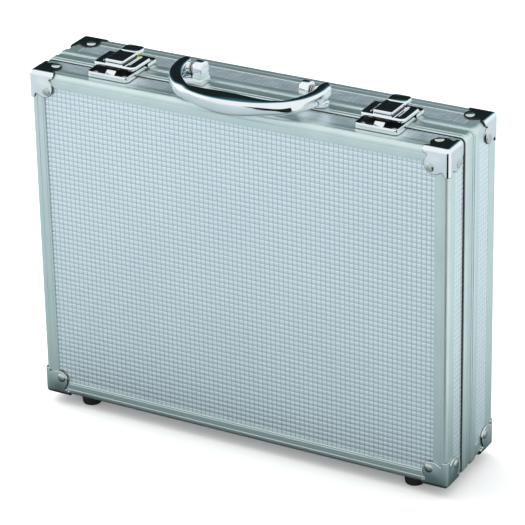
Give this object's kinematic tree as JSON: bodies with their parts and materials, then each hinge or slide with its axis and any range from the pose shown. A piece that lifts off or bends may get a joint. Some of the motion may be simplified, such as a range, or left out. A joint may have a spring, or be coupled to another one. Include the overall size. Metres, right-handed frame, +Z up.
{
  "type": "art supply box",
  "caption": "Slim hinged carrying case for art supplies, aluminium-framed with embossed panels, corner plates, lever latches, a bail handle and feet on its hinge edge.",
  "frame": {"origin": "middle of the bounding box in plan, on the floor under the feet", "axes": "+X to the right across the longest side, +Y to the rear, where the lid half is, +Z up from the hinge edge to the handle edge"},
  "size_m": [0.3762, 0.1062, 0.3181],
  "materials": {
    "embossed_skin": "embossed with small raised squares, silvery, satin",
    "satin_trim": "satin anodised, with fine drawn lines",
    "chrome": "bright polished",
    "steel": "zinc plated",
    "seal": "black, matt",
    "rubber": "black, matt",
    "foam": "charcoal foam with a short nap"
  },
  "bodies": {
    "body": {"body_face_panel": "embossed_skin", "body_left_panel": "embossed_skin", "body_right_panel": "embossed_skin", "body_top_panel": "embossed_skin", "body_bottom_panel": "embossed_skin", "body_edge_trim": "satin_trim", "body_frame_profile": "satin_trim", "body_panel_seal": "seal", "body_corner_top_left": "chrome", "body_corner_bottom_left": "chrome", "body_corner_top_right": "chrome", "body_corner_bottom_right": "chrome", "body_foot_left": "rubber", "body_foot_right": "rubber", "foam_insert": "foam", "hinge_body_leaf_left": "steel", "hinge_pin_left": "steel", "latch_base_left": "chrome", "latch_pin_left": "steel", "latch_spring_left": "steel", "handle_bracket_left": "chrome", "handle_pin_left": "steel", "hinge_body_leaf_right": "steel", "hinge_pin_right": "steel", "latch_base_right": "chrome", "latch_pin_right": "steel", "latch_spring_right": "steel", "handle_bracket_right": "chrome", "handle_pin_right": "steel"},
    "lid": {"lid_face_panel": "embossed_skin", "lid_left_panel": "embossed_skin", "lid_right_panel": "embossed_skin", "lid_top_panel": "embossed_skin", "lid_bottom_panel": "embossed_skin", "lid_edge_trim": "satin_trim", "lid_frame_profile": "satin_trim", "lid_panel_seal": "seal", "lid_corner_top_left": "chrome", "lid_corner_bottom_left": "chrome", "lid_corner_top_right": "chrome", "lid_corner_bottom_right": "chrome", "lid_foot_left": "rubber", "lid_foot_right": "rubber", "lid_pad": "foam", "hinge_lid_leaf_left": "steel", "latch_keeper_left": "chrome", "stay_lid_stud_left": "steel", "hinge_lid_leaf_right": "steel", "latch_keeper_right": "chrome", "stay_lid_stud_right": "steel"},
    "handle": {"handle": "chrome"},
    "lever_left": {"latch_lever_left": "chrome"},
    "hook_left": {"latch_hook_left": "steel"},
    "body_arm_left": {"stay_body_arm_left": "steel"},
    "lid_arm_left": {"stay_lid_arm_left": "steel"},
    "lever_right": {"latch_lever_right": "chrome"},
    "hook_right": {"latch_hook_right": "steel"},
    "body_arm_right": {"stay_body_arm_right": "steel"},
    "lid_arm_right": {"stay_lid_arm_right": "steel"}
  },
  "joints": [
    {"name": "lid_hinge", "type": "hinge", "parent": "body", "child": "lid", "pos_m": [0, 0.00815, 0.0052], "axis": [-1, 0, 0], "range_deg": [0, 95]},
    {"name": "handle_hinge", "type": "hinge", "parent": "body", "child": "handle", "pos_m": [0, 0.00035, 0.3115], "axis": [-1, 0, 0], "range_deg": [0, 180]},
    {"name": "lever_left_hinge", "type": "hinge", "parent": "body", "child": "lever_left", "pos_m": [-0.119, -0.01205, 0.3044], "axis": [1, 0, 0], "range_deg": [0, 80]},
    {"name": "hook_left_hinge", "type": "hinge", "parent": "lever_left", "child": "hook_left", "pos_m": [-0.119, 0.00215, 0.308], "axis": [1, 0, 0], "range_deg": [0, 5]},
    {"name": "body_arm_left_hinge", "type": "hinge", "parent": "body", "child": "body_arm_left", "pos_m": [-0.177, -0.00391, 0.06193], "axis": [-1, 0, 0], "range_deg": [0, 95]},
    {"name": "lid_arm_left_hinge", "type": "hinge", "parent": "lid", "child": "lid_arm_left", "pos_m": [-0.175, 0.02021, 0.06193], "axis": [-1, 0, 0], "range_deg": [-95, 0]},
    {"name": "lever_right_hinge", "type": "hinge", "parent": "body", "child": "lever_right", "pos_m": [0.119, -0.01205, 0.3044], "axis": [1, 0, 0], "range_deg": [0, 80]},
    {"name": "hook_right_hinge", "type": "hinge", "parent": "lever_right", "child": "hook_right", "pos_m": [0.119, 0.00215, 0.308], "axis": [1, 0, 0], "range_deg": [0, 5]},
    {"name": "body_arm_right_hinge", "type": "hinge", "parent": "body", "child": "body_arm_right", "pos_m": [0.177, -0.00391, 0.06193], "axis": [-1, 0, 0], "range_deg": [0, 95]},
    {"name": "lid_arm_right_hinge", "type": "hinge", "parent": "lid", "child": "lid_arm_right", "pos_m": [0.175, 0.02021, 0.06193], "axis": [-1, 0, 0], "range_deg": [-95, 0]}
  ],
  "couplings": [
    {"joint": "body_arm_left_hinge", "follows": "lid_hinge", "ratio": 1},
    {"joint": "lid_arm_left_hinge", "follows": "lid_hinge", "ratio": -1},
    {"joint": "body_arm_right_hinge", "follows": "lid_hinge", "ratio": 1},
    {"joint": "lid_arm_right_hinge", "follows": "lid_hinge", "ratio": -1}
  ]
}
